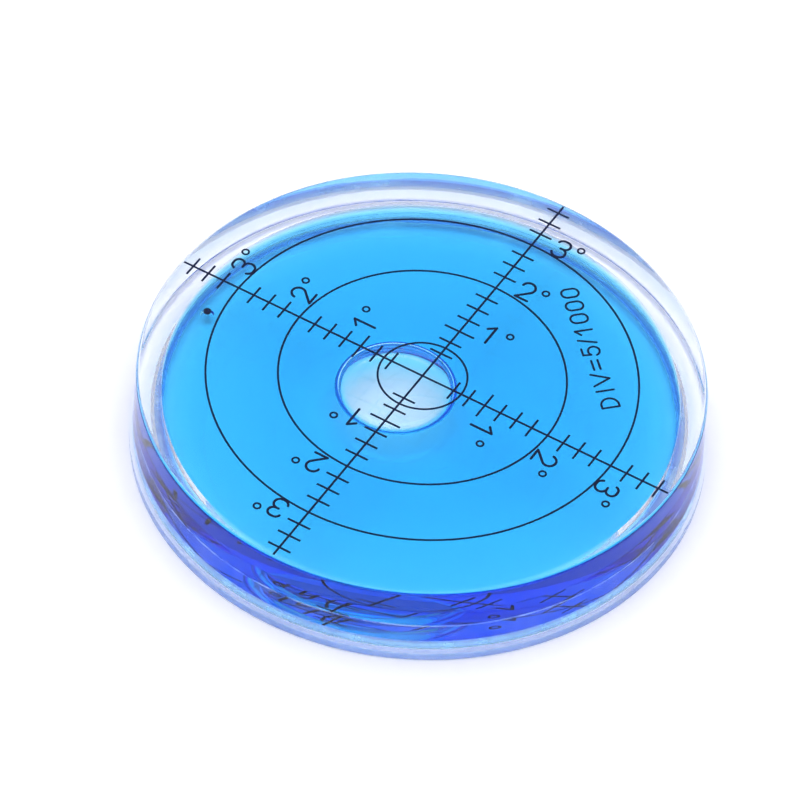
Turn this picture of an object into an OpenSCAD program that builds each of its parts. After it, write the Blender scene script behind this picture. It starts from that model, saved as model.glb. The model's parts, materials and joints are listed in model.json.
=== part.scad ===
// Circular spirit level: a clear acrylic disc vial with a blue fill and a graduated top.
// Frame: +Z up, the vial rests on z = 0, Z is its axis, and the dial's cross lines lie on X and Y.

/* [Casing] */
// Overall height of the vial without its print
vial_h = 9.9; // [9.5:0.1:12]
// Outer radius at the top face
top_r = 30.0; // [29.5:0.1:32]
// Outer radius of the wall just above the foot ring
wall_r = 30.3; // [30.2:0.1:32.2]
// Radius of the rounded top edge
edge_r = 0.35; // [0.1:0.05:0.6]
// Outer radius of the foot ring
ring_r = 30.6; // [30.5:0.1:33]
// Height of the foot ring
ring_h = 1.6; // [1.4:0.1:2]
// Height of the bevel on top of the foot ring
ring_bevel = 0.4; // [0.2:0.05:0.8]
// Chamfer round the bottom of the foot ring
ring_chamfer = 0.2; // [0.1:0.05:0.4]
// Inner radius of the foot ring at its bottom
ring_inner_r = 28.4; // [27.9:0.1:29]

/* [Chamber] */
// Radius of the liquid chamber
chamber_r = 27.35; // [26.5:0.05:28]
// Height of the chamber floor, which is the top of the base plate
floor_z = 3.3; // [3:0.05:3.4]
// Height of the base plate's underside above the table
plate_z = 0.95; // [0.8:0.05:1.4]
// Height of the chamber's ceiling where it meets the wall
ceiling_z = 5.5; // [5.5:0.05:6.5]
// Radius of the spherical ceiling, which sets the scale of the dial
dome_r = 434.6; // [400:0.1:500]
// Clearance of the base plate in the shell
plate_gap = 0.03; // [0.01:0.01:0.1]

/* [Bubble] */
// Radius of the bubble
bubble_r = 6.5; // [5:0.05:7]
// Thickness of the bubble
bubble_t = 2.05; // [1.2:0.05:2.05]
// Tilt that the bubble shows, in degrees
bubble_tilt = 0.36; // [0:0.01:0.6]
// Direction of the bubble from the centre, in degrees from +X
bubble_way = 198.5; // [0:0.5:360]

/* [Filling hole] */
// Distance of the filling hole from the centre
hole_at = 25.9; // [24:0.1:26]
// Direction of the filling hole from the centre, in degrees from +X
hole_way = 182.4; // [160:0.1:240]
// Radius of the filling hole
hole_r = 0.42; // [0.3:0.01:0.6]
// Radius of the countersink in the underside
sink_r = 0.76; // [0.7:0.01:1]
// Depth of the countersink
sink_t = 0.5; // [0.3:0.05:0.8]
// Length of the plug in the hole
plug_t = 0.8; // [0.5:0.05:1.2]

/* [Print] */
// Thickness of the ink
ink_t = 0.04; // [0.02:0.01:0.1]
// Width of the cross lines and ticks
line_w = 0.22; // [0.15:0.01:0.35]
// Width of the circles
ring_w = 0.21; // [0.15:0.01:0.35]
// Width of the strokes of the numerals
stroke_w = 0.26; // [0.2:0.01:0.3]
// Width of the strokes of the legend
legend_w = 0.22; // [0.15:0.01:0.28]
// Radius of the centre circle
centre_ring_r = 4.72; // [4.3:0.01:5]
// Reach of the cross lines from the centre
cross_reach = 29.6; // [29:0.1:29.6]
// Half length of a quarter degree tick
tick_half = 1.34; // [1.1:0.01:1.6]
// Half length of a whole degree tick
long_tick_half = 1.79; // [1.7:0.01:1.85]
// Height of the numerals
digit_h = 2.75; // [2.6:0.01:2.9]
// Gap between an arm's axis and its numerals
digit_gap = 2.07; // [2:0.01:2.3]
// Height of the legend's letters
letter_h = 2.1; // [1.9:0.01:2.2]
// Distance of the legend's foot line from the centre
legend_at = 19.34; // [19.1:0.01:19.6]

/* [Hidden] */
$fn = 96;
// Overlap that makes a cut clean
over = 1;
// Facets of the very large circle that the dome's arc is cut from
dome_fn = 3600;
// Height of the dome over the middle of the chamber
dome_z = ceiling_z + dome_r - sqrt(dome_r * dome_r - chamber_r * chamber_r);
// One degree of tilt, measured on the dial
degree = dome_r * PI / 180;
// Quarter degree marks, counted in quarters from the centre
quarter_marks = [2, 3, 5, 6, 7, 9, 10, 11, 13, 14, 15];
// Clearance of the liquid and of the bubble inside the chamber
fluid_gap = 0.05;
bubble_gap = 0.1;
// Size of the cement bead in the corner under the base plate
bead = 0.35;
// Sides and rounding of the degree sign
sign_r = 0.36;
sign_w = 0.2;
// Half of the stroke, which is where a numeral's centre lines start
half_s = stroke_w / 2;
// Half of the legend's stroke
half_l = legend_w / 2;

// ---- shapes that repeat ----

// The space under the dome, from z = low up to a gap below it
module under_dome(radius, low, gap) {
    rotate_extrude()
        intersection() {
            translate([0, dome_z - dome_r]) circle(r = dome_r - gap, $fn = dome_fn);
            translate([0, low]) square([radius, dome_z - low + over]);
        }
}

// One layer of ink on the top face
module ink() {
    translate([0, 0, vial_h]) linear_extrude(ink_t) children();
}

// The four arms of the dial, each a quarter turn on
module arms() {
    for (turn = [0 : 90 : 270]) rotate(turn) children();
}

// A printed circle
module circle_line(radius, width) {
    difference() {
        circle(r = radius + width / 2);
        circle(r = radius - width / 2);
    }
}

// A straight stroke with round ends
module stroke(from, to, width) {
    way = to - from;
    translate(from) circle(d = width, $fn = 24);
    translate(to) circle(d = width, $fn = 24);
    translate(from) rotate(atan2(way[1], way[0])) translate([0, -width / 2]) square([norm(way), width]);
}

// A quarter of a turn or less along a circle, from one angle to another
module arc(middle, radius, start, turn, width) {
    far = radius * 2;
    translate(middle)
        intersection() {
            circle_line(radius, width);
            polygon([
                [0, 0],
                [far * cos(start), far * sin(start)],
                [far * cos(start + turn / 2), far * sin(start + turn / 2)],
                [far * cos(start + turn), far * sin(start + turn)]
            ]);
        }
}

// An oval made of two half circles and two straight sides
module oval(middle, width, height, line) {
    r = (width - line) / 2;
    rise = (height - line) / 2 - r;
    translate(middle)
        difference() {
            union() {
                translate([0, rise]) circle(r = r + line / 2, $fn = 48);
                translate([0, -rise]) circle(r = r + line / 2, $fn = 48);
                translate([-r - line / 2, -rise]) square([2 * r + line, 2 * rise]);
            }
            translate([0, rise]) circle(r = r - line / 2, $fn = 48);
            translate([0, -rise]) circle(r = r - line / 2, $fn = 48);
            translate([-r + line / 2, -rise]) square([2 * r - line, 2 * rise]);
        }
}

// ---- numerals, with their feet on y = 0 and their left sides near x = 0 ----

module digit_one() {
    stem = 1.0;
    top = digit_h - half_s;
    stroke([stem, half_s], [stem, top], stroke_w);
    stroke([stem, top], [0.24, top - 0.62], stroke_w);
}

module digit_two() {
    r = 0.74;
    middle = [half_s + r, digit_h - half_s - r];
    leave = middle + r * [cos(-45), sin(-45)];
    arc(middle, r, 80, 92, stroke_w);
    arc(middle, r, 17, 64, stroke_w);
    arc(middle, r, -45, 63, stroke_w);
    translate(middle + r * [cos(172), sin(172)]) circle(d = stroke_w, $fn = 24);
    stroke(leave, [leave[0] - leave[1] + half_s, half_s], stroke_w);
    stroke([leave[0] - leave[1] + half_s, half_s], [1.66, half_s], stroke_w);
}

module digit_three() {
    upper = 0.59;
    lower = (digit_h - stroke_w) / 2 - upper;
    waist = half_s + 2 * lower;
    right = 1.03;
    left = 0.76;
    // upper bowl
    arc([right, waist + upper], upper, -90, 91, stroke_w);
    arc([right, waist + upper], upper, 0, 90, stroke_w);
    stroke([left, digit_h - half_s], [right, digit_h - half_s], stroke_w);
    arc([left, waist + upper], upper, 90, 75, stroke_w);
    translate([left, waist + upper] + upper * [cos(165), sin(165)]) circle(d = stroke_w, $fn = 24);
    // waist
    stroke([left, waist], [right, waist], stroke_w);
    // lower bowl
    arc([right - 0.05, half_s + lower], lower, -90, 91, stroke_w);
    arc([right - 0.05, half_s + lower], lower, 0, 90, stroke_w);
    stroke([left, half_s], [right, half_s], stroke_w);
    arc([left, half_s + lower], lower, 195, 75, stroke_w);
    translate([left, half_s + lower] + lower * [cos(195), sin(195)]) circle(d = stroke_w, $fn = 24);
}

// ---- letters of the legend, with their feet on y = 0 and their middles on x = 0 ----

module letter_d() {
    wide = 1.5;
    r = (letter_h - legend_w) / 2;
    straight = wide - legend_w - r;
    stroke([-wide / 2 + half_l, half_l], [-wide / 2 + half_l, letter_h - half_l], legend_w);
    for (y = [half_l, letter_h - half_l])
        stroke([-wide / 2 + half_l, y], [-wide / 2 + half_l + straight, y], legend_w);
    arc([-wide / 2 + half_l + straight, letter_h / 2], r, -90, 91, legend_w);
    arc([-wide / 2 + half_l + straight, letter_h / 2], r, 0, 90, legend_w);
}

module letter_i() {
    stroke([0, half_l], [0, letter_h - half_l], legend_w);
}

module letter_v() {
    for (side = [-1, 1]) stroke([0, half_l], [side * 0.84, letter_h - half_l], legend_w);
}

module equals_sign() {
    for (y = [0.7, 1.39]) stroke([-0.66, y], [0.66, y], legend_w);
}

module digit_five() {
    r = 0.62;
    middle = [0, half_l + r];
    corner = [-0.4, letter_h - half_l];
    for (start = [-90, 0]) arc(middle, r, start, 91, legend_w);
    arc(middle, r, 90, 50, legend_w);
    arc(middle, r, 195, 76, legend_w);
    translate(middle + r * [cos(195), sin(195)]) circle(d = legend_w, $fn = 24);
    stroke(middle + r * [cos(140), sin(140)], corner, legend_w);
    stroke(corner, [0.5, letter_h - half_l], legend_w);
}

module slash() {
    stroke([-0.3, 0.02 + half_l], [0.3, letter_h + 0.02 - half_l], legend_w);
}

module small_one() {
    top = letter_h - half_l;
    stroke([0.2, half_l], [0.2, top], legend_w);
    stroke([0.2, top], [-0.4, top - 0.55], legend_w);
}

module small_zero() {
    oval([0, letter_h / 2], 1.42, letter_h, legend_w);
}

// ---- the casing ----

// Upper casting: the domed window, the wall and the foot ring in one
module window_shell() {
    color([0.86, 0.90, 0.99])
        difference() {
            rotate_extrude() {
                polygon([
                    [0, 0], [ring_r - ring_chamfer, 0], [ring_r, ring_chamfer],
                    [ring_r, ring_h - ring_bevel], [wall_r, ring_h], [top_r, vial_h - edge_r],
                    [top_r - edge_r, vial_h], [0, vial_h]
                ]);
                translate([top_r - edge_r, vial_h - edge_r]) circle(r = edge_r, $fn = 48);
            }
            under_dome(chamber_r, -over, 0);
            cylinder(r1 = ring_inner_r, r2 = chamber_r, h = plate_z);
        }
}

// Disc that closes the chamber from below, with the filling hole
module base_plate() {
    color([0.88, 0.90, 0.98])
        difference() {
            translate([0, 0, plate_z]) cylinder(r = chamber_r - plate_gap, h = floor_z - plate_z);
            rotate(hole_way) translate([hole_at, 0, 0]) {
                cylinder(r = hole_r, h = floor_z + over);
                translate([0, 0, plate_z]) cylinder(r1 = sink_r, r2 = hole_r, h = sink_t);
            }
        }
}

// Ring of cement in the corner between the base plate's underside and the foot ring
module weld_bead() {
    slope = (ring_inner_r - chamber_r) / plate_z;
    color([0.80, 0.82, 0.97])
        rotate_extrude()
            polygon([
                [chamber_r - bead, plate_z], [chamber_r, plate_z], [chamber_r + slope * bead, plate_z - bead]
            ]);
}

// ---- what the chamber holds ----

// The liquid, open along one radius so that the bubble can travel
module spirit_fill() {
    path_w = bubble_r + bubble_gap;
    color([0.16, 0.66, 1.0])
        difference() {
            under_dome(chamber_r - fluid_gap, floor_z + fluid_gap, fluid_gap);
            rotate(bubble_way) {
                cylinder(r = path_w, h = vial_h);
                translate([0, -path_w, 0]) cube([chamber_r, 2 * path_w, vial_h]);
            }
        }
}

// The bubble, a disc of air with a round rim, square to the dome where it stands
module air_bubble() {
    rim = bubble_t / 2;
    color([0.93, 0.96, 1.0])
        rotate(bubble_way)
            translate([0, 0, dome_z - dome_r])
                rotate([0, bubble_tilt, 0])
                    translate([0, 0, dome_r - bubble_gap - rim])
                        rotate_extrude() {
                            translate([0, -rim]) square([bubble_r - rim, bubble_t]);
                            difference() {
                                translate([bubble_r - rim, 0]) circle(r = rim, $fn = 48);
                                translate([-bubble_r, -bubble_r]) square([bubble_r, 2 * bubble_r]);
                            }
                        }
}

// Dark pin that closes the filling hole
module fill_plug() {
    color([0.05, 0.07, 0.16])
        rotate(hole_way)
            translate([hole_at, 0, plate_z + sink_t])
                cylinder(r = hole_r, h = plug_t);
}

// Drop of resin under the plug, set in the countersink
module plug_sealant() {
    color([0.80, 0.86, 0.99])
        rotate(hole_way)
            translate([hole_at, 0, plate_z])
                cylinder(r1 = sink_r, r2 = hole_r, h = sink_t);
}

// ---- the print on the top face ----

module cross_lines() {
    color([0.03, 0.05, 0.13])
        ink() arms() translate([-line_w / 2, -line_w / 2]) square([line_w, cross_reach + line_w / 2]);
}

// The cross lines, with length to spare, to cut out of what crosses them
module cross_room() {
    square([2 * top_r, line_w], center = true);
    square([line_w, 2 * top_r], center = true);
}

module dial_ring(radius) {
    color([0.03, 0.05, 0.13])
        ink()
            difference() {
                circle_line(radius, ring_w);
                cross_room();
            }
}

module centre_circle() { dial_ring(centre_ring_r); }
module two_degree_ring() { dial_ring(2 * degree); }
module three_degree_ring() { dial_ring(3 * degree); }

// Ticks across the four arms, each in two halves beside the cross line
module ticks(marks, half) {
    color([0.03, 0.05, 0.13])
        ink() arms()
            for (mark = marks, side = [0, 1])
                mirror([side, 0])
                    translate([line_w / 2, mark * degree / 4 - line_w / 2])
                        square([half - line_w / 2, line_w]);
}

module quarter_degree_ticks() { ticks(quarter_marks, tick_half); }
module one_degree_ticks() { ticks([4], long_tick_half); }

// A numeral on each arm, its foot on the circle of that many degrees
module numerals(degrees) {
    color([0.03, 0.05, 0.13])
        ink() arms()
            difference() {
                translate([digit_gap, degrees * degree]) children();
                circle(r = degrees * degree + (degrees > 1 ? ring_w / 2 : 0));
            }
}

module one_numerals() { numerals(1) digit_one(); }
module two_numerals() { numerals(2) translate([0, 0.05]) digit_two(); }
module three_numerals() { numerals(3) translate([0, -0.15]) digit_three(); }

module degree_signs() {
    color([0.03, 0.05, 0.13])
        ink() arms()
            for (count = [1 : 3])
                translate([4.87, count * degree + 2.36 - 0.06 * count]) circle_line(sign_r, sign_w, $fn = 48);
}

// The value of one division, read from outside the dial, on a slant between two arms
module division_legend() {
    color([0.03, 0.05, 0.13])
        ink()
            rotate(135) translate([0, -legend_at]) {
                translate([-7.58, 0]) letter_d();
                translate([-5.82, 0]) letter_i();
                translate([-4.18, 0]) letter_v();
                translate([-2.10, 0]) equals_sign();
                translate([-0.12, 0]) digit_five();
                translate([1.33, 0]) slash();
                translate([2.75, 0]) small_one();
                for (place = [4.69, 6.57, 8.45]) translate([place, 0]) small_zero();
            }
}

window_shell();
base_plate();
weld_bead();
spirit_fill();
air_bubble();
fill_plug();
plug_sealant();
cross_lines();
centre_circle();
two_degree_ring();
three_degree_ring();
quarter_degree_ticks();
one_degree_ticks();
one_numerals();
two_numerals();
three_numerals();
degree_signs();
division_legend();
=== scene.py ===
"""Looks of a circular spirit level: clear casting, base plate, fill, bubble, dial and stage."""

import json
import math

import bmesh
import bpy
from bpy.props import FloatProperty, FloatVectorProperty, IntProperty, PointerProperty
from mathutils import Matrix, Vector, noise


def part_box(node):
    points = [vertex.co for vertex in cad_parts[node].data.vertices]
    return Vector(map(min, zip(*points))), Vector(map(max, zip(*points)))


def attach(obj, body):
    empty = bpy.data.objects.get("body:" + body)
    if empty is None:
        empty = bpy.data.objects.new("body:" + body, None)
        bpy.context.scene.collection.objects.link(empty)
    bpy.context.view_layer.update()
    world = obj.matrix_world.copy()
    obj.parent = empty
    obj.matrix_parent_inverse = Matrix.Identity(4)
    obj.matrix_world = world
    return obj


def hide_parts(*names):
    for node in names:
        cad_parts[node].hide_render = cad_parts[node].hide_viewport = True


bl_info = {
    "name": "Circular Spirit Level",
    "version": (1, 0, 0),
    "blender": (4, 5, 0),
    "location": "3D View > Sidebar > Level",
    "description": "Builds the visible pieces, finishes and stage of a round acrylic spirit level",
    "category": "Object",
}

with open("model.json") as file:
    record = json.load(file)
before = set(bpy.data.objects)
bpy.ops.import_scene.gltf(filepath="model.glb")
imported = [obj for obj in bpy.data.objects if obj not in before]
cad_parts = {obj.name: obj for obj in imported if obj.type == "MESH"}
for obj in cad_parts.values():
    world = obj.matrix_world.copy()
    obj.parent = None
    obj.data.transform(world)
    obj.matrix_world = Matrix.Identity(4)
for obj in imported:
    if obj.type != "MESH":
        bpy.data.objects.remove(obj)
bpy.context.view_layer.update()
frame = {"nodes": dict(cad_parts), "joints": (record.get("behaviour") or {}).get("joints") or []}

MM = 0.001
AXIS_Z = Vector((0, 0, 1))
JOINTS = {joint["name"]: joint for joint in frame["joints"]}
INK_NODES = [
    "cross_lines", "centre_circle", "two_degree_ring", "three_degree_ring",
    "quarter_degree_ticks", "one_degree_ticks", "one_numerals", "two_numerals",
    "three_numerals", "degree_signs", "division_legend",
]


def top_of(node):
    """Height of a node's highest point."""
    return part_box(node)[1].z


def foot_of(node):
    """Height of a node's lowest point."""
    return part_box(node)[0].z


def reach_of(node):
    """Largest radius of a round node that stands on the axis."""
    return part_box(node)[1].y


# ---- sizes and colours that a user may change ----


class CasingSettings(bpy.types.PropertyGroup):
    """Sizes and colours of the clear casting, its base plate and the cement between them"""

    steps: IntProperty(
        name="Steps", description="Steps of a full turn", default=256, min=32, max=512
    )
    top_radius: FloatProperty(
        name="Top radius", description="Radius of the top face", default=30.0 * MM, unit="LENGTH"
    )
    edge_radius: FloatProperty(
        name="Edge radius", description="Rounding of the top edge", default=0.35 * MM, unit="LENGTH"
    )
    chamber_radius: FloatProperty(
        name="Chamber radius", description="Radius of the liquid chamber",
        default=27.35 * MM, unit="LENGTH",
    )
    dome_radius: FloatProperty(
        name="Dome radius", description="Radius of the chamber's ceiling",
        default=434.6 * MM, unit="LENGTH",
    )
    corner_radius: FloatProperty(
        name="Corner radius", description="Rounding between ceiling and wall",
        default=0.12 * MM, unit="LENGTH",
    )
    chamfer: FloatProperty(
        name="Chamfer", description="Chamfer under the foot ring", default=0.2 * MM, unit="LENGTH"
    )
    ring_height: FloatProperty(
        name="Ring height", description="Height of the foot ring", default=1.6 * MM, unit="LENGTH"
    )
    ring_bevel: FloatProperty(
        name="Ring bevel", description="Height of the foot ring's bevel",
        default=0.4 * MM, unit="LENGTH",
    )
    wall_radius: FloatProperty(
        name="Wall radius", description="Radius of the wall just above the foot ring",
        default=30.3 * MM,
        unit="LENGTH",
    )
    ring_inner: FloatProperty(
        name="Ring inner radius", description="Inner radius of the foot ring at its bottom",
        default=28.4 * MM, unit="LENGTH",
    )
    seam: FloatProperty(
        name="Seam", description="Thickness of the cement film", default=0.02 * MM, unit="LENGTH"
    )
    smear: FloatProperty(
        name="Smear", description="Height of the cement smeared under the plate",
        default=0.6 * MM, unit="LENGTH",
    )
    bead_tint: FloatVectorProperty(
        name="Bead", description="Colour of the cement bead",
        default=(0.30, 0.42, 0.90), subtype="COLOR",
    )
    clear_tint: FloatVectorProperty(
        name="Acrylic", description="Tint of the acrylic",
        default=(0.985, 0.988, 1.0), subtype="COLOR",
    )
    cement_tint: FloatVectorProperty(
        name="Cement", description="Colour of the cement",
        default=(0.62, 0.66, 0.95), subtype="COLOR",
    )
    sawn_tint: FloatVectorProperty(
        name="Sawn acrylic", description="Tint of the matt bottom and cone of the foot ring",
        default=(0.985, 0.985, 1.0), subtype="COLOR",
    )


class FillSettings(bpy.types.PropertyGroup):
    """Sizes and colours of the liquid and of the bubble"""

    gap: FloatProperty(
        name="Gap", description="Distance from the liquid's skin to the casting",
        default=0.02 * MM, unit="LENGTH",
    )
    passed: FloatVectorProperty(
        name="Passed colour", description="Colour that the liquid lets through",
        default=(0.0, 0.80, 0.985),
        subtype="COLOR",
    )
    density: FloatProperty(
        name="Density", description="Strength of the dye per metre", default=615.0
    )
    clearing: FloatProperty(
        name="Clearing", description="How much of the dye the bubble takes away",
        default=1.28, min=1.0, max=1.5,
    )
    rim: FloatProperty(
        name="Rim", description="Radius of the bubble's round rim", default=1.02 * MM, unit="LENGTH"
    )
    film: FloatProperty(
        name="Film", description="Liquid between the bubble and the dome",
        default=0.1 * MM, unit="LENGTH",
    )


class PrintSettings(bpy.types.PropertyGroup):
    """Colours of the ink and of the plug"""

    ink: FloatVectorProperty(
        name="Ink", description="Colour of the ink", default=(0.006, 0.010, 0.035), subtype="COLOR"
    )
    plug: FloatVectorProperty(
        name="Plug", description="Colour of the plug", default=(0.004, 0.006, 0.03), subtype="COLOR"
    )


class StageSettings(bpy.types.PropertyGroup):
    """Camera, floor, lights and tone of the picture"""

    azimuth: FloatProperty(
        name="Azimuth", description="Turn of the view about the vial",
        default=math.radians(28.0), subtype="ANGLE",
    )
    elevation: FloatProperty(
        name="Elevation", description="Height of the view",
        default=math.radians(47.72), subtype="ANGLE",
    )
    roll: FloatProperty(
        name="Roll", description="Turn of the camera about its own axis",
        default=math.radians(4.18),
        subtype="ANGLE",
    )
    distance: FloatProperty(
        name="Distance", description="Camera to the middle of the view",
        default=628.8 * MM, unit="LENGTH",
    )
    lens: FloatProperty(name="Lens", description="Focal length on a 36 mm sensor", default=271.0)
    aim: FloatVectorProperty(
        name="Aim", description="Point on the top face at the middle of the view", size=2,
        default=(-0.21 * MM, -4.23 * MM), subtype="TRANSLATION",
    )
    floor: FloatVectorProperty(
        name="Floor", description="Colour of the floor",
        default=(0.93, 0.93, 0.935), subtype="COLOR",
    )
    gamma: FloatProperty(name="Gamma", description="Gamma of the picture", default=0.87)
    exposure: FloatProperty(
        name="Exposure", description="Exposure of the picture in stops", default=-0.14
    )
    overhead: FloatProperty(
        name="Overhead", description="Strength of the light from above", default=3.4
    )
    around: FloatProperty(
        name="Around", description="Strength of the light all round", default=0.75
    )


SETTINGS = {
    "casing": CasingSettings,
    "fill": FillSettings,
    "marks": PrintSettings,
    "stage": StageSettings,
}


def settings(group):
    """The scene's settings of one group."""
    return getattr(bpy.context.scene, "level_" + group)


# ---- materials ----


class Wire:
    """A socket that works in Python sums: each operator adds a Math node."""

    def __init__(self, tree, socket):
        self.tree = tree
        self.socket = socket

    def _sum(self, operation, *values):
        maths = self.tree.nodes.new("ShaderNodeMath")
        maths.operation = operation
        for slot, value in zip(maths.inputs, values):
            if isinstance(value, Wire):
                self.tree.links.new(value.socket, slot)
            else:
                slot.default_value = value
        return Wire(self.tree, maths.outputs[0])

    def __add__(self, other):
        return self._sum("ADD", self, other)

    def __radd__(self, other):
        return self._sum("ADD", other, self)

    def __sub__(self, other):
        return self._sum("SUBTRACT", self, other)

    def __rmul__(self, other):
        return self._sum("MULTIPLY", other, self)

    def __truediv__(self, other):
        return self._sum("DIVIDE", self, other)

    def above(self, edge, width):
        """0 below edge, 1 above it, with a soft step of that width."""
        ramp = (self - edge) / width + 0.5
        return ramp._sum("MINIMUM", ramp._sum("MAXIMUM", ramp, 0.0), 1.0)


class Finish:
    """A material, or the world's light, under construction."""

    def __init__(self, name, kind="Material"):
        blocks = bpy.data.worlds if kind == "World" else bpy.data.materials
        self.material = blocks.new(name)
        self.material.use_nodes = True
        self.tree = self.material.node_tree
        self.tree.nodes.clear()
        self.out = self.tree.nodes.new("ShaderNodeOutput" + kind)

    def node(self, kind, setup=None, output=0, **values):
        """Adds a node of that kind. setup is set first; values go to its sockets by name."""
        made = self.tree.nodes.new("ShaderNode" + kind)
        for name, value in (setup or {}).items():
            setattr(made, name, value)
        for name, value in values.items():
            slot = made.inputs[name.replace("_", " ")]
            if isinstance(value, Wire):
                self.tree.links.new(value.socket, slot)
            else:
                slot.default_value = value
        return Wire(self.tree, made.outputs[output])

    def place(self, scale):
        """Object coordinates, stretched."""
        at = self.node("TexCoord", output="Object")
        return self.node("Mapping", Vector=at, Scale=scale)

    def cloud(self, scale, detail=2.0, stretch=(1, 1, 1), roughness=0.5):
        """Soft noise from 0 to 1, scale in features per metre."""
        return self.node(
            "TexNoise", Vector=self.place(stretch), Scale=scale, Detail=detail, Roughness=roughness
        )

    def tone(self, share, low, high):
        """A colour between two colours."""
        mix = self.tree.nodes.new("ShaderNodeMix")
        mix.data_type = "RGBA"
        self.tree.links.new(share.socket, mix.inputs[0])
        mix.inputs[6].default_value = (*low, 1)
        mix.inputs[7].default_value = (*high, 1)
        return Wire(self.tree, mix.outputs[2])

    def relief(self, height, distance):
        """A normal from a height pattern."""
        return self.node("Bump", Height=height, Distance=distance, Strength=1.0)

    def surface(self, shader):
        self.tree.links.new(shader.socket, self.out.inputs["Surface"])
        return self

    def volume(self, shader):
        self.tree.links.new(shader.socket, self.out.inputs["Volume"])
        return self


ACRYLIC_IOR = 1.49
SPIRIT_IOR = 1.44
CEMENT_IOR = 1.45
RESIN_RATIO = 0.8  # index of the resin over the acrylic's, low enough for the drop to show
HAZE = 0.012  # roughness added by the hazy patches of the acrylic
TURNING_MARKS = 0.35  # share of the fine lines in the acrylic's relief, the rest is swell
CLEAR_CEMENT = (0.97, 0.975, 1.0, 1)
FILM_SHARE = 0.06  # how much the streaks in a thin film of cement show
INK_LIFT, INK_LEAST = 1.9, 0.002  # lighter patches of the ink: times its colour, plus this
LIGHT_FROM, LIGHT_EDGE = 0.86, 0.1  # height and softness of the edge of the light from above


def acrylic(name, ior, tint, marks=0.0, rough=0.0, gloss=0.5):
    """Clear cast acrylic. marks is the depth of its turning marks, rough how matt the tool left it,
    gloss the strength of its reflections."""
    finish = Finish(name)
    values = {
        "Base_Color": (*tint, 1), "IOR": ior,
        "Transmission_Weight": 1.0, "Specular_IOR_Level": gloss,
    }
    haze = finish.cloud(90, 3)
    values["Roughness"] = rough + HAZE * haze.above(0.56, 0.2)
    if marks:
        lines = finish.cloud(220, 3, (0.12, 0.12, 6))
        swell = finish.cloud(110, 2, (1, 1, 2.5))
        values["Normal"] = finish.relief(
            TURNING_MARKS * lines + (1 - TURNING_MARKS) * swell, marks
        )
    return finish.surface(finish.node("BsdfPrincipled", **values)).material


def cement(name, tint, share, pale=(0.92, 0.93, 1.0), bare=0.5):
    """Cured cement with pale and dark streaks in it. share is how much the streaks show, bare how
    much of the cement is left clear."""
    finish = Finish(name)
    streaks = finish.cloud(260, 5, (1, 1, 0.4), 0.65)
    body = finish.node(
        "BsdfPrincipled",
        Base_Color=finish.tone(streaks, tint, pale),
        Roughness=0.25 + 0.3 * streaks,
        IOR=CEMENT_IOR,
    )
    clear = finish.node("BsdfTransparent", Color=CLEAR_CEMENT)
    mixed = finish.tree.nodes.new("ShaderNodeMixShader")
    finish.tree.links.new((share * streaks.above(bare, 0.3)).socket, mixed.inputs[0])
    finish.tree.links.new(clear.socket, mixed.inputs[1])
    finish.tree.links.new(body.socket, mixed.inputs[2])
    return finish.surface(Wire(finish.tree, mixed.outputs[0])).material


def spirit():
    """Dyed liquid. Its skin bends nothing, because the casting's inner faces do that."""
    wants = settings("fill")
    finish = Finish("blue_spirit")
    finish.surface(
        finish.node(
            "BsdfPrincipled", Base_Color=(1, 1, 1, 1), Roughness=0.0, IOR=1.0,
            Transmission_Weight=1.0,
        )
    )
    finish.volume(
        finish.node("VolumeAbsorption", Color=(*wants.passed, 1), Density=wants.density)
    )
    return finish.material


def bubble_air():
    """Air in the liquid. Its volume gives back what the dye takes, here and just below."""
    wants = settings("fill")
    finish = Finish("air")
    haze = finish.cloud(60, 2)
    finish.surface(
        finish.node(
            "BsdfGlass", Color=finish.tone(haze, (0.985, 0.99, 1.0), (1, 1, 1)), Roughness=0.0,
            IOR=1 / SPIRIT_IOR,
        )
    )
    given = [2 - c for c in wants.passed]
    finish.volume(
        finish.node("VolumeAbsorption", Color=(*given, 1), Density=wants.clearing * wants.density)
    )
    return finish.material


def ink():
    """Screen ink, a little uneven in tone and gloss."""
    wants = settings("marks")
    finish = Finish("ink")
    patch = finish.cloud(900, 4)
    light = [INK_LIFT * c + INK_LEAST for c in wants.ink]
    return finish.surface(
        finish.node(
            "BsdfPrincipled",
            Base_Color=finish.tone(patch, tuple(wants.ink), tuple(light)),
            Roughness=0.5 + 0.25 * patch,
            Specular_IOR_Level=0.15,
            Normal=finish.relief(finish.cloud(4000, 2), 0.004 * MM),
        )
    ).material


def plug_rubber():
    """Dark rubber with a fine grain."""
    wants = settings("marks")
    finish = Finish("plug_rubber")
    grain = finish.cloud(3000, 3)
    return finish.surface(
        finish.node(
            "BsdfPrincipled",
            Base_Color=finish.tone(grain, tuple(wants.plug), (0.02, 0.03, 0.10)),
            Roughness=0.45 + 0.3 * grain,
            Normal=finish.relief(grain, 0.01 * MM),
        )
    ).material


def floor_paper():
    """Matt white paper with a faint grain."""
    wants = settings("stage")
    finish = Finish("floor_paper")
    grain = finish.cloud(700, 3)
    low = tuple(0.995 * c for c in wants.floor)
    return finish.surface(
        finish.node(
            "BsdfPrincipled",
            Base_Color=finish.tone(grain, low, tuple(wants.floor)),
            Roughness=0.9 + 0.1 * grain,
            Specular_IOR_Level=0.0,
        )
    ).material


def soft_light():
    """Even studio light, brightest from straight above."""
    wants = settings("stage")
    light = Finish("soft_light", "World")
    ahead = light.node("TexCoord", output="Generated")
    up = light.node("SeparateXYZ", output="Z", Vector=ahead)
    strength = wants.around + (wants.overhead - wants.around) * up.above(LIGHT_FROM, LIGHT_EDGE)
    return light.surface(light.node("Background", Color=(1, 1, 1, 1), Strength=strength)).material


# ---- shapes ----


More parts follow.
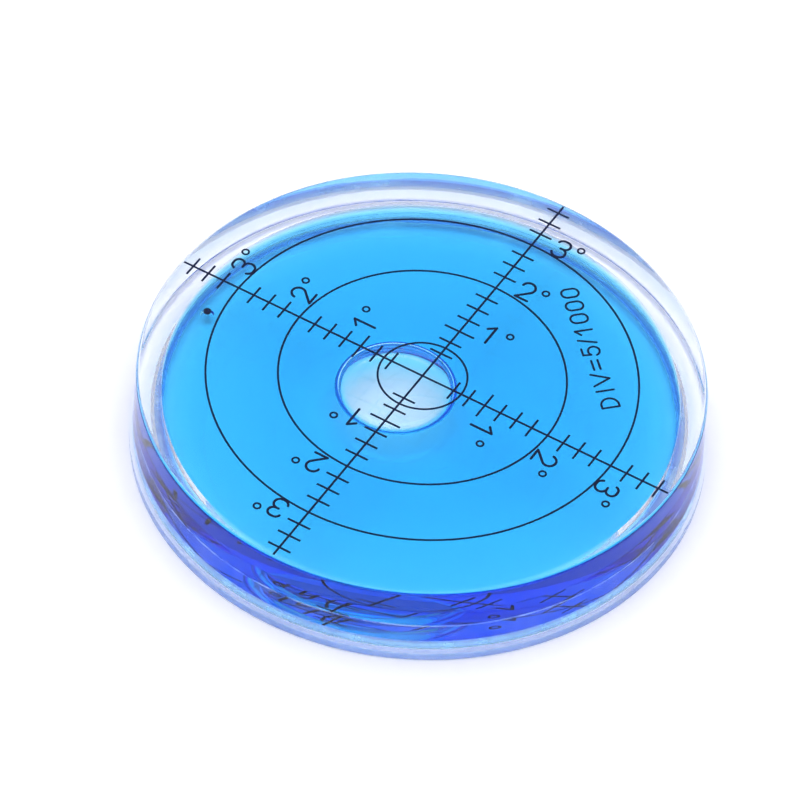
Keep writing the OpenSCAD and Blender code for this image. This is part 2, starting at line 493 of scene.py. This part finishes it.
SHARP_ANGLE = math.radians(30.0)
NEAR = 0.08 * MM  # from a rounding to the row of faces that keeps its shading tight
TUCK = 0.02 * MM  # keeps a piece clear of its neighbours
PLATE_NICK = 0.13 * MM  # chamfer round the top of the base plate
BEAD_SWELL, BEAD_SLOW, BEAD_FAST = 0.62, 0.6, 0.4  # mean swell, slow wave and fast wave
BEAD_LEAST = 0.55  # narrowest width of the bead, as a share of the widest
BUBBLE_STEPS = 192
BUBBLE_DIP, BUBBLE_DROP = 0.004 * MM, 0.03 * MM  # how the bubble's top falls away from its middle
FLOOR_GAP = 0.02 * MM
FLOOR_REACH = 3.0
BOUNCES = 64


def arc(middle, radius, start, end, steps):
    """Points (radius, height) along an arc, angles in degrees."""
    angles = [math.radians(start + (end - start) * i / steps) for i in range(steps + 1)]
    return [(middle[0] + radius * math.cos(a), middle[1] + radius * math.sin(a)) for a in angles]


def turned(name, runs, steps):
    """A piece turned about Z. runs are (material, [(radius, height), ...]), each starting where the
    last ended. The first and last points lie on the axis, or on each other for a ring."""
    made = bmesh.new()
    points, kinds = [], []
    for kind, run in runs:
        if not points:
            points.append(run[0])
        points += run[1:]
        kinds += [kind] * (len(run) - 1)
    ring = points[0] == points[-1]
    if ring:
        points.pop()
    verts = [made.verts.new((r, 0, z)) for r, z in points]
    pairs = list(zip(verts, verts[1:] + verts[:1])) if ring else list(zip(verts, verts[1:]))
    edges = [made.edges.new(pair) for pair in pairs]
    bmesh.ops.spin(
        made, geom=verts + edges, cent=(0, 0, 0), axis=(0, 0, 1), angle=2 * math.pi, steps=steps,
        use_merge=True,
    )
    bmesh.ops.remove_doubles(made, verts=made.verts, dist=1e-8)
    bmesh.ops.recalc_face_normals(made, faces=made.faces)
    return finish_turned(name, made, points, kinds, ring)


def finish_turned(name, made, points, kinds, ring):
    """Gives each face the material of the stretch that it came from, and makes the object."""
    ends = points[1:] + points[:1] if ring else points[1:]
    middles = [((a[0] + b[0]) / 2, (a[1] + b[1]) / 2) for a, b in zip(points, ends)]
    for face in made.faces:
        r = sum(math.hypot(v.co.x, v.co.y) for v in face.verts) / len(face.verts)
        z = sum(v.co.z for v in face.verts) / len(face.verts)
        if len(face.verts) == 3:  # at the axis, where the stretch's middle lies half way out
            radii = sorted(math.hypot(v.co.x, v.co.y) for v in face.verts)
            r = radii[2] / 2
            z = (max(v.co.z for v in face.verts) + min(v.co.z for v in face.verts)) / 2
        misses = [(a - r) ** 2 + (b - z) ** 2 for a, b in middles]
        best = misses.index(min(misses))
        face.material_index = kinds[best]
        face.smooth = True
    for edge in made.edges:
        if len(edge.link_faces) == 2 and edge.calc_face_angle(0) > SHARP_ANGLE:
            edge.smooth = False
    mesh = bpy.data.meshes.new(name)
    made.to_mesh(mesh)
    made.free()
    piece = bpy.data.objects.new(name, mesh)
    bpy.context.scene.collection.objects.link(piece)
    return piece


def fitted(piece, materials, body, nodes):
    """Gives a piece its materials, and hangs it on its body in place of its CAD nodes."""
    for material in materials:
        piece.data.materials.append(material)
    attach(piece, body)
    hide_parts(*nodes)
    return piece


def dome_height(radius, gap=0.0):
    """Height of the chamber's ceiling at a radius, less a gap."""
    middle = JOINTS["bubble_travel"]["pos_m"][2]
    dome = settings("casing").dome_radius - gap
    return middle + math.sqrt(dome * dome - radius * radius)


def dome_run(outer, gap, steps=24):
    """Points of the ceiling from a radius to the axis."""
    radii = [outer * (1 - i / steps) for i in range(steps + 1)]
    return [(r, dome_height(r, gap)) for r in radii]


# ---- one operator for each piece ----


class LEVEL_OT_window(bpy.types.Operator):
    """Casting: top face, wall, foot ring, and the chamber's wall and ceiling"""

    bl_idname = "level.window"
    bl_label = "Window casting"

    def execute(self, context):
        wants = settings("casing")
        top, floor, under = top_of("window_shell"), top_of("base_plate"), foot_of("base_plate")
        outer, wall = reach_of("window_shell"), wants.wall_radius
        edge, chamfer = wants.edge_radius, wants.chamfer
        chamber, corner = wants.chamber_radius, wants.corner_radius
        ceiling = dome_height(chamber - corner)
        high = wants.ring_height
        low = high - wants.ring_bevel
        outside = [(0, top), (wants.top_radius * 0.5, top), (wants.top_radius - edge - NEAR, top)]
        outside += arc((wants.top_radius - edge, top - edge), edge, 90, 0, 8)
        outside += [(wants.top_radius + 0.02 * NEAR, top - edge - NEAR), (wall, high)]
        ring = [(wall, high), (outer, low), (outer, chamfer), (outer - chamfer, 0)]
        smeared = under - wants.smear
        border = (wants.ring_inner + (chamber - wants.ring_inner) * smeared / under, smeared)
        sawn = [(outer - chamfer, 0), (wants.ring_inner, 0), border]
        smear = [border, (chamber, under)]
        joint = [(chamber, under), (chamber, floor)]
        inside = [(chamber, floor), (chamber, ceiling - corner - NEAR)]
        inside += arc((chamber - corner, ceiling - corner), corner, 0, 90, 6)
        inside += dome_run(chamber - corner - NEAR, 0)
        runs = [(0, outside), (3, ring), (4, sawn), (5, smear), (1, joint), (2, inside)]
        piece = turned("window_casting", runs, wants.steps)
        tint = tuple(wants.clear_tint)
        fitted(
            piece,
            [
                acrylic("window_acrylic", ACRYLIC_IOR, tint, marks=0.004 * MM, gloss=0.2),
                cement("cement_film", tuple(wants.cement_tint), FILM_SHARE),
                acrylic("wet_acrylic", ACRYLIC_IOR / SPIRIT_IOR, (1, 1, 1)),
                acrylic("turned_acrylic", ACRYLIC_IOR, tint, marks=0.006 * MM, rough=0.12),
                acrylic(
                    "sawn_acrylic", ACRYLIC_IOR, tuple(wants.sawn_tint), marks=0.02 * MM, rough=0.5
                ),
                cement(
                    "cement_smear", tuple(wants.bead_tint), 0.42, pale=(0.62, 0.72, 0.98), bare=0.36
                ),
            ],
            "vial", ["window_shell"],
        )
        return {"FINISHED"}


class LEVEL_OT_base(bpy.types.Operator):
    """Disc that closes the chamber from below"""

    bl_idname = "level.base"
    bl_label = "Base plate"

    def execute(self, context):
        wants = settings("casing")
        floor, under = top_of("base_plate"), foot_of("base_plate")
        outer = wants.chamber_radius - wants.seam
        top = [(0, floor), (outer * 0.5, floor), (outer - PLATE_NICK, floor)]
        edge = [(outer - PLATE_NICK, floor), (outer, floor - PLATE_NICK)]
        joint = [(outer, floor - PLATE_NICK), (outer, under)]
        bottom = [(outer, under), (outer * 0.5, under), (0, under)]
        piece = turned("base_disc", [(0, top), (3, edge), (1, joint), (2, bottom)], wants.steps)
        tint = tuple(wants.clear_tint)
        fitted(
            piece,
            [
                acrylic("wet_floor", ACRYLIC_IOR / SPIRIT_IOR, (1, 1, 1)),
                cement("base_cement_film", tuple(wants.cement_tint), FILM_SHARE),
                acrylic("base_acrylic", ACRYLIC_IOR, tint, marks=0.003 * MM),
                cement("cement_edge", (0.75, 0.82, 1.0), 0.75),
            ],
            "vial", ["base_plate"],
        )
        return {"FINISHED"}


class LEVEL_OT_bead(bpy.types.Operator):
    """Cement squeezed out in the corner under the base plate, uneven in width"""

    bl_idname = "level.bead"
    bl_label = "Cement bead"

    def execute(self, context):
        wants = settings("casing")
        top, drop = foot_of("base_plate") - TUCK, top_of("weld_bead") - foot_of("weld_bead")
        slope = (wants.ring_inner - wants.chamber_radius) / foot_of("base_plate")
        corner = wants.chamber_radius - TUCK
        size = drop - 2 * TUCK
        profile = [(corner, top), (corner + slope * size, top - size)]
        profile += [(corner - 0.25 * size, top - 0.55 * size), (corner - size, top), (corner, top)]
        piece = turned("cement_bead", [(0, profile)], wants.steps)
        for vert in piece.data.vertices:
            around = Vector((vert.co.x, vert.co.y, 0)).normalized()
            slow, fast = noise.noise(around * 7), noise.noise(around * 34)
            swell = BEAD_SWELL + BEAD_SLOW * slow + BEAD_FAST * fast
            share = max(BEAD_LEAST, min(1.0, 0.3 + 0.8 * swell))
            away = vert.co - around * corner - AXIS_Z * top
            vert.co = around * corner + AXIS_Z * top + share * away
        tint = tuple(wants.bead_tint)
        body = cement("cement_bead", tint, 0.5, pale=(0.55, 0.62, 0.97), bare=0.4)
        fitted(piece, [body], "vial", ["weld_bead"])
        return {"FINISHED"}


class LEVEL_OT_fill(bpy.types.Operator):
    """Dyed liquid, which fills the chamber"""

    bl_idname = "level.fill"
    bl_label = "Liquid"

    def execute(self, context):
        wants, casing = settings("fill"), settings("casing")
        outer = casing.chamber_radius - wants.gap
        corner = casing.corner_radius
        low = top_of("base_plate") + wants.gap
        high = dome_height(casing.chamber_radius - corner) - wants.gap
        run = [(0, low), (outer * 0.5, low), (outer, low), (outer, high - corner)]
        run += arc((outer - corner, high - corner), corner, 0, 90, 6)[1:]
        run += dome_run(outer - corner - NEAR, wants.gap)
        piece = turned("blue_fill", [(0, run)], casing.steps)
        fitted(piece, [spirit()], "fill", ["spirit_fill"])
        return {"FINISHED"}


class LEVEL_OT_bubble(bpy.types.Operator):
    """Bubble of air, flat against the dome, with a round rim"""

    bl_idname = "level.bubble"
    bl_label = "Bubble"

    def execute(self, context):
        wants = settings("fill")
        low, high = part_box("air_bubble")
        middle = (low + high) / 2
        centre = Vector(JOINTS["bubble_travel"]["pos_m"])
        upright = (middle - centre).normalized()
        radius = (high.y - low.y) / 2
        rim = wants.rim
        crown = settings("casing").dome_radius - wants.film
        flat = radius - rim
        run = [(0, 0), (flat * 0.6, -BUBBLE_DIP), (flat, -BUBBLE_DROP)]
        run += arc((flat, -rim - BUBBLE_DROP), rim, 90, -90, 24)[1:]
        run += [(flat * 0.6, -2 * rim - BUBBLE_DROP), (0, -2 * rim - BUBBLE_DROP)]
        piece = turned("bubble", [(0, run)], BUBBLE_STEPS)
        turn = AXIS_Z.rotation_difference(upright).to_matrix().to_4x4()
        piece.data.transform(Matrix.Translation(centre + upright * crown) @ turn)
        fitted(piece, [bubble_air()], "bubble", ["air_bubble"])
        return {"FINISHED"}


class LEVEL_OT_plug(bpy.types.Operator):
    """Pin in the filling hole, and the resin drop under it"""

    bl_idname = "level.plug"
    bl_label = "Filling plug"

    def execute(self, context):
        low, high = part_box("fill_plug")
        middle = (low + high) / 2
        radius = (high.x - low.x) / 2
        round_r = radius * 0.8
        run = [(0, low.z)] + arc((radius - round_r, low.z + round_r), round_r, -90, 0, 6)
        run += arc((radius - round_r, high.z - round_r), round_r, 0, 90, 6) + [(0, high.z)]
        pin = turned("plug_pin", [(0, run)], 48)
        pin.data.transform(Matrix.Translation((middle.x, middle.y, 0)))
        fitted(pin, [plug_rubber()], "vial", ["fill_plug"])

        low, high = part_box("plug_sealant")
        wide, narrow = (high.x - low.x) / 2 - TUCK, radius
        run = [(0, low.z + TUCK), (wide - TUCK, low.z + TUCK), (wide, low.z + 2 * TUCK)]
        run += [(narrow, high.z - 2 * TUCK), (narrow - TUCK, high.z - TUCK), (0, high.z - TUCK)]
        drop = turned("resin_drop", [(0, run)], 64)
        drop.data.transform(Matrix.Translation((middle.x, middle.y, 0)))
        resin = acrylic("clear_resin", RESIN_RATIO, (0.95, 0.97, 1.0))
        fitted(drop, [resin], "vial", ["plug_sealant"])
        return {"FINISHED"}


class LEVEL_OT_print(bpy.types.Operator):
    """Ink of every printed mark on the top face"""

    bl_idname = "level.print"
    bl_label = "Printed dial"

    def execute(self, context):
        coat = ink()
        for node in INK_NODES:
            mark = frame["nodes"][node]
            mark.data.materials.clear()
            mark.data.materials.append(coat)
        return {"FINISHED"}


class LEVEL_OT_stage(bpy.types.Operator):
    """Floor, even light, tone of the picture and camera"""

    bl_idname = "level.stage"
    bl_label = "Stage"

    def execute(self, context):
        wants = settings("stage")
        scene = context.scene
        made = bmesh.new()
        bmesh.ops.create_grid(made, x_segments=2, y_segments=2, size=FLOOR_REACH)
        bmesh.ops.translate(made, verts=made.verts, vec=(0, 0, -FLOOR_GAP))
        mesh = bpy.data.meshes.new("floor")
        made.to_mesh(mesh)
        made.free()
        floor = bpy.data.objects.new("floor", mesh)
        scene.collection.objects.link(floor)
        floor.data.materials.append(floor_paper())

        scene.world = soft_light()
        scene.view_settings.view_transform = "Standard"
        scene.view_settings.gamma = wants.gamma
        scene.view_settings.exposure = wants.exposure
        for kind in ("max", "glossy", "transmission", "transparent_max"):
            setattr(scene.cycles, kind + "_bounces", BOUNCES)
        scene.cycles.blur_glossy = 0.0

        ahead = Vector(
            (
                -math.sin(wants.azimuth) * math.cos(wants.elevation),
                math.cos(wants.azimuth) * math.cos(wants.elevation),
                -math.sin(wants.elevation),
            )
        )
        right = Vector((math.cos(wants.azimuth), math.sin(wants.azimuth), 0))
        up = right.cross(ahead)
        across = right * math.cos(wants.roll) + up * math.sin(wants.roll)
        aloft = up * math.cos(wants.roll) - right * math.sin(wants.roll)
        place = Vector((*wants.aim, top_of("window_shell"))) - ahead * wants.distance
        eye = bpy.data.cameras.new("camera")
        eye.lens = wants.lens
        eye.sensor_width = 36.0
        eye.clip_start, eye.clip_end = 0.01, 20.0
        camera = bpy.data.objects.new("camera", eye)
        scene.collection.objects.link(camera)
        turn = Matrix((across, aloft, -ahead)).transposed().to_4x4()
        camera.matrix_world = Matrix.Translation(place) @ turn
        scene.camera = camera
        return {"FINISHED"}


OPERATORS = [
    LEVEL_OT_window, LEVEL_OT_base, LEVEL_OT_bead, LEVEL_OT_fill, LEVEL_OT_bubble,
    LEVEL_OT_plug, LEVEL_OT_print, LEVEL_OT_stage,
]


class LEVEL_PT_panel(bpy.types.Panel):
    """Lists the settings and the buttons that build the level"""

    bl_label = "Spirit level"
    bl_idname = "LEVEL_PT_panel"
    bl_space_type = "VIEW_3D"
    bl_region_type = "UI"
    bl_category = "Level"

    def draw(self, context):
        for group, kind in SETTINGS.items():
            box = self.layout.box()
            for name in kind.__annotations__:
                box.prop(settings(group), name)
        for operator in OPERATORS:
            self.layout.operator(operator.bl_idname)


def register():
    for kind in [*SETTINGS.values(), *OPERATORS, LEVEL_PT_panel]:
        bpy.utils.register_class(kind)
    for group, kind in SETTINGS.items():
        setattr(bpy.types.Scene, "level_" + group, PointerProperty(type=kind))


def unregister():
    for group in SETTINGS:
        delattr(bpy.types.Scene, "level_" + group)
    for kind in reversed([*SETTINGS.values(), *OPERATORS, LEVEL_PT_panel]):
        bpy.utils.unregister_class(kind)


def main():
    """Builds everything."""
    register()
    for operator in OPERATORS:
        group, name = operator.bl_idname.split(".")
        getattr(getattr(bpy.ops, group), name)()


if __name__ == "__main__":
    main()
